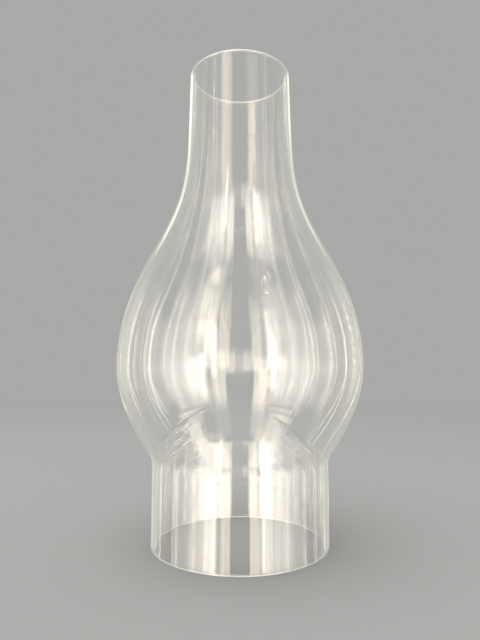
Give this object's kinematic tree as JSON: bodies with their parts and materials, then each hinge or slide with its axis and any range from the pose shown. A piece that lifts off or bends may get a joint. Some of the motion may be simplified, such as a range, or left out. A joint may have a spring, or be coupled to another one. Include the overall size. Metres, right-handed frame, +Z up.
{
  "type": "oil lamp chimney",
  "caption": "Clear blown-glass chimney for an oil lamp: a straight foot band, a swelling bulb and a long neck that narrows to an open mouth.",
  "frame": {"origin": "centre of the base rim, in the plane that the chimney stands on", "axes": "+Z up along the chimney's axis, from the base rim to the mouth; X and Y are free, since the glass is round"},
  "size_m": [0.107, 0.107, 0.2095],
  "materials": {
    "clear_glass": "fire-polished clear glass with a faint grey-green tint at its edges"
  },
  "bodies": {
    "root": {"chimney_glass": "clear_glass"}
  },
  "joints": []
}
